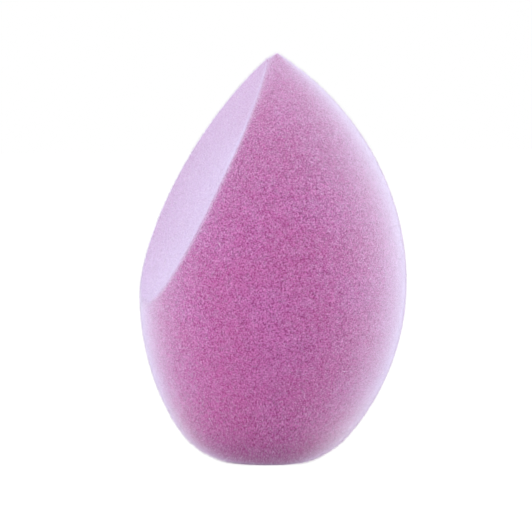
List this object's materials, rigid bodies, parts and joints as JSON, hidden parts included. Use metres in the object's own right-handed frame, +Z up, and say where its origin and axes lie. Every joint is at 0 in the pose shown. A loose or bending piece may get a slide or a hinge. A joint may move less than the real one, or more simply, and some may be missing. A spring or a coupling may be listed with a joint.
{
  "type": "makeup sponge",
  "caption": "Teardrop makeup sponge of soft foam with a flocked microfibre coat: pointed tip, slanted cut and small flat foot, for dabbing and blending make-up.",
  "frame": {"origin": "middle of the flat foot, on the surface that the sponge stands on", "axes": "+Z up from the foot to the tip, -X the way the slanted cut faces, mirror plane XZ; the body leans slightly to +X"},
  "size_m": [0.039, 0.039, 0.0599],
  "materials": {
    "core_foam": "soft open-cell foam, matte",
    "flock_adhesive": "thin cured adhesive, satin",
    "mauve_pile": "flocked microfibre pile, velvet sheen, pale lilac at grazing angles"
  },
  "bodies": {
    "root": {"foam_core": "core_foam", "adhesive_film": "flock_adhesive", "side_pile": "mauve_pile", "slant_pile": "mauve_pile", "base_pile": "mauve_pile"}
  },
  "joints": []
}
